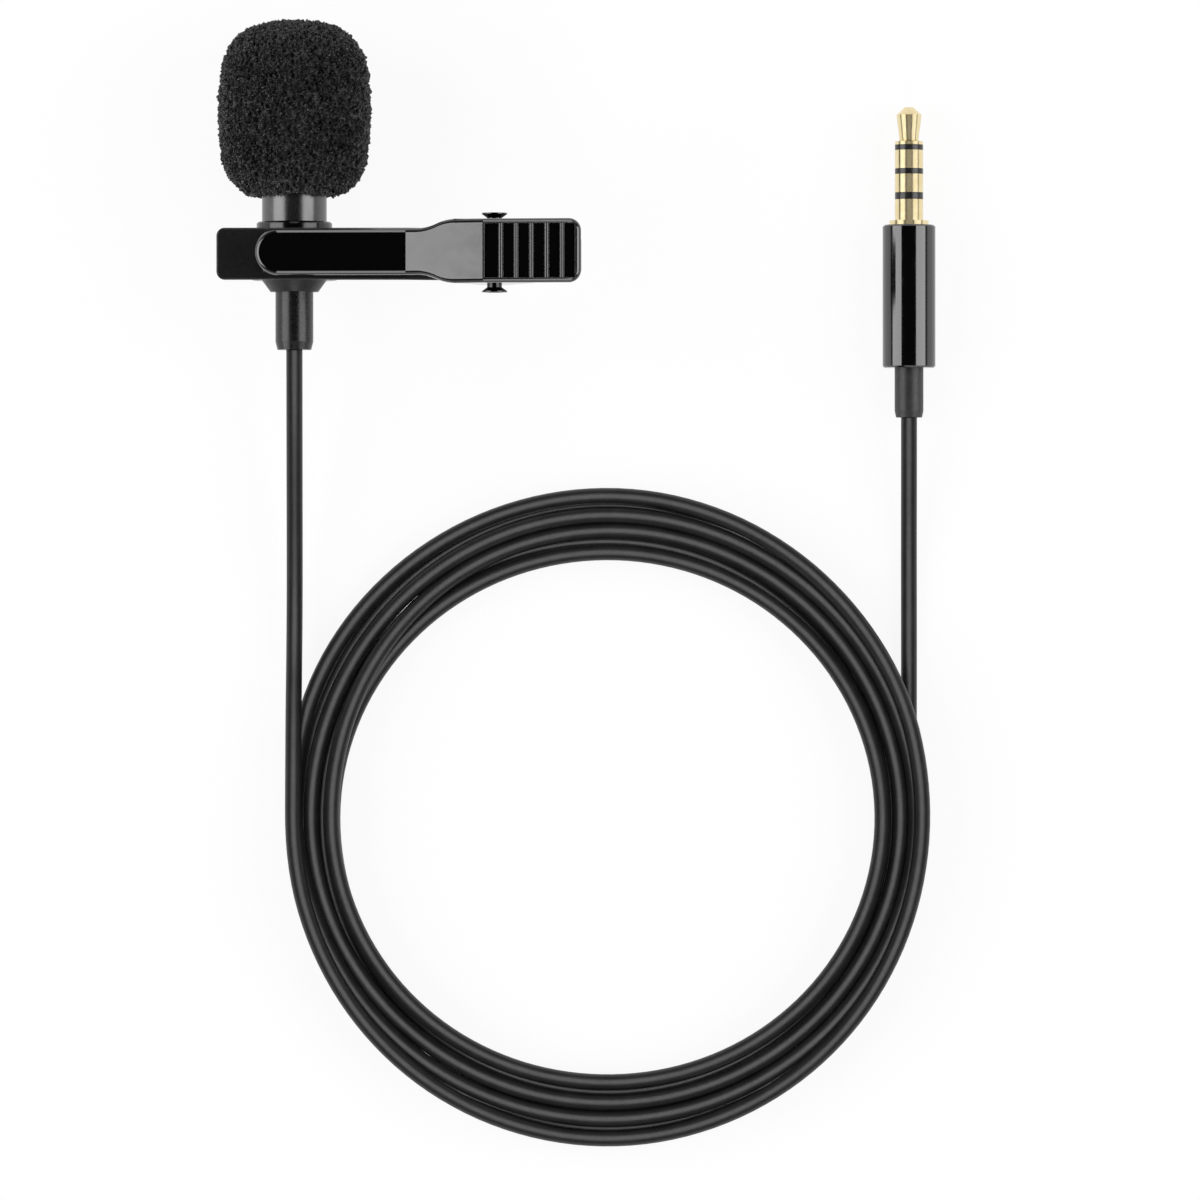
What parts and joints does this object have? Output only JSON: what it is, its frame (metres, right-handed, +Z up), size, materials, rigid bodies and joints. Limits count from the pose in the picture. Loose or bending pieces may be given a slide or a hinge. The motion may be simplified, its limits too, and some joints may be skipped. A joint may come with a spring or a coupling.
{
  "type": "lavalier microphone",
  "caption": "Clip-on lavalier microphone with a foam windscreen, a sprung lapel clip, a coiled lead and a headset jack plug.",
  "frame": {"origin": "on the table, under the middle of the microphone and its clip", "axes": "+Z up from the table the part lies on, +Y along the microphone towards the windscreen's crown, +X along the clip towards its finger grips"},
  "size_m": [0.0884, 0.139, 0.0264],
  "materials": {
    "foam": "open-cell charcoal foam",
    "satin_black_metal": "satin black anodised metal",
    "aluminium_can": "drawn can",
    "felt": "thin dust felt",
    "circuit_board": "green solder mask",
    "black_rubber": "soft matt rubber",
    "dark_rubber": "smooth rubber",
    "copper_wire": "bare metal",
    "boot_black": "satin moulded rubber",
    "matte_black_steel": "matt black coating",
    "gloss_black_steel": "polished black lacquer",
    "black_rivet": "black plated",
    "spring_steel": "blued spring wire",
    "gold_contact": "gold plated",
    "black_insulation": "moulded plastic",
    "gloss_black_barrel": "polished black lacquer",
    "cord_black": "satin cable jacket"
  },
  "bodies": {
    "microphone": {"mic_housing": "satin_black_metal", "head_cap": "satin_black_metal", "capsule_can": "aluminium_can", "capsule_felt": "felt", "capsule_board": "circuit_board", "capsule_gasket": "black_rubber", "capsule_leads": "copper_wire", "cord_ferrule": "copper_wire", "tail_cone": "dark_rubber", "mic_boot": "boot_black", "cord_mic_run": "cord_black", "cord_coil": "cord_black", "cord_plug_run": "cord_black", "plug_tip": "gold_contact", "plug_ring_1": "gold_contact", "plug_ring_2": "gold_contact", "plug_sleeve": "gold_contact", "plug_insulation": "black_insulation", "plug_barrel": "gloss_black_barrel", "plug_inner_mould": "black_insulation", "plug_boot": "boot_black"},
    "windscreen": {"windscreen": "foam"},
    "bush": {"ring_bush": "dark_rubber"},
    "clip": {"holder_ring": "satin_black_metal", "long_jaw": "matte_black_steel", "pivot_rivet": "black_rivet", "clip_spring": "spring_steel"},
    "jaw": {"short_jaw": "gloss_black_steel"}
  },
  "joints": [
    {"name": "windscreen_off", "type": "slide", "parent": "microphone", "child": "windscreen", "axis": [0, 1, 0], "range_m": [0, 0.018]},
    {"name": "clip_slide", "type": "slide", "parent": "microphone", "child": "bush", "axis": [0, -1, 0], "range_m": [0, 0.008]},
    {"name": "clip_swivel", "type": "hinge", "parent": "bush", "child": "clip", "pos_m": [-0.01298, -0.0087, 0.0094], "axis": [0, -1, 0], "continuous": true},
    {"name": "jaw_open", "type": "hinge", "parent": "clip", "child": "jaw", "pos_m": [0.01172, -0.0087, 0.01853], "axis": [0, 1, 0], "range_deg": [0, 30], "stiffness_Nm_per_rad": 0.05, "springref_deg": -40.11, "deforming": ["clip_spring"]}
  ]
}
